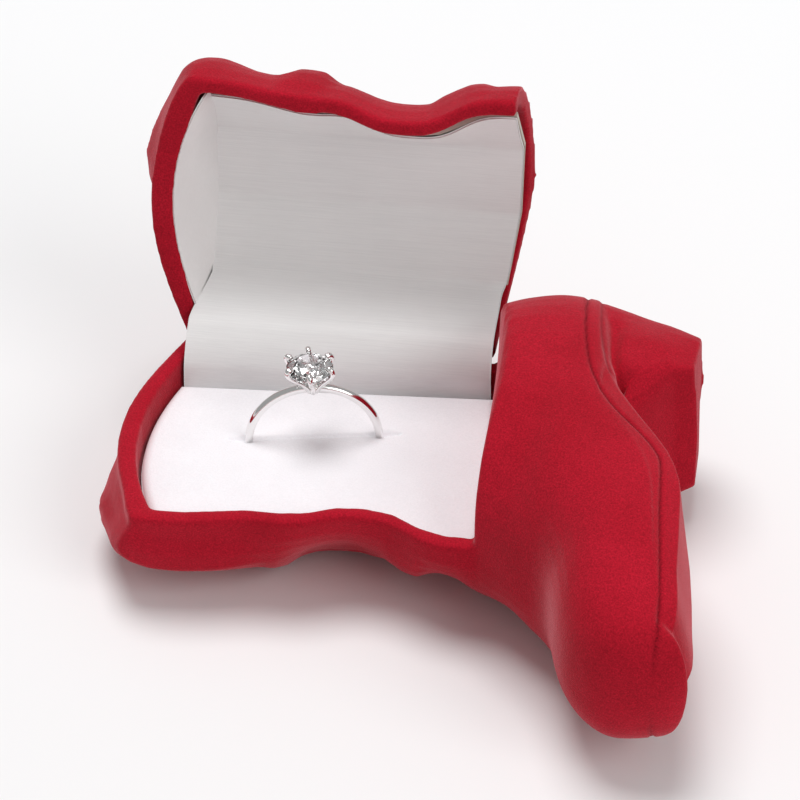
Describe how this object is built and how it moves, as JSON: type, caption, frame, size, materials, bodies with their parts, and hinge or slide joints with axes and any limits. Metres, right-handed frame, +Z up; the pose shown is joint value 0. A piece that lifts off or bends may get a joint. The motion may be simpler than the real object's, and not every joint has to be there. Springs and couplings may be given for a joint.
{
  "type": "boot-shaped ring gift box",
  "caption": "Flocked ring gift box shaped as an ankle boot on its side, with a hinged lid, lined inside, and a ring standing in its velvet pad.",
  "frame": {"origin": "on the flat underside of the base, under the middle of the shaft", "axes": "+X along the shaft from the boot top to the sole, +Y towards the hinge (calf) side, +Z up off the table"},
  "size_m": [0.0856, 0.0884, 0.0577],
  "materials": {
    "flock": "moulded plastic under a short red flock, velvet to the eye",
    "velvet": "white short-pile velvet",
    "foam": "white upholstery foam",
    "satin": "white satin with fine cross threads",
    "card": "plain grey card",
    "white_card": "white card, matt",
    "hinge_steel": "thin pressed sheet steel",
    "silver": "polished silver",
    "crystal": "clear brilliant-cut stone"
  },
  "bodies": {
    "base": {"base_shell": "flock", "foot_cover": "flock", "pad_card": "card", "pad_foam": "foam", "pad_velvet": "velvet", "hinge_base_leaf": "hinge_steel", "hinge_pin": "hinge_steel", "ring_band": "silver", "ring_setting": "silver", "ring_stone": "crystal"},
    "lid": {"lid_shell": "flock", "lid_card": "card", "lid_satin": "satin", "lid_end_card": "white_card", "satin_flap": "satin", "hinge_lid_leaf": "hinge_steel"}
  },
  "joints": [
    {"name": "lid_hinge", "type": "hinge", "parent": "base", "child": "lid", "pos_m": [0, 0.02, 0.0166], "axis": [1, 0, 0], "range_deg": [0, 96.5], "deforming": ["satin_flap"]}
  ]
}
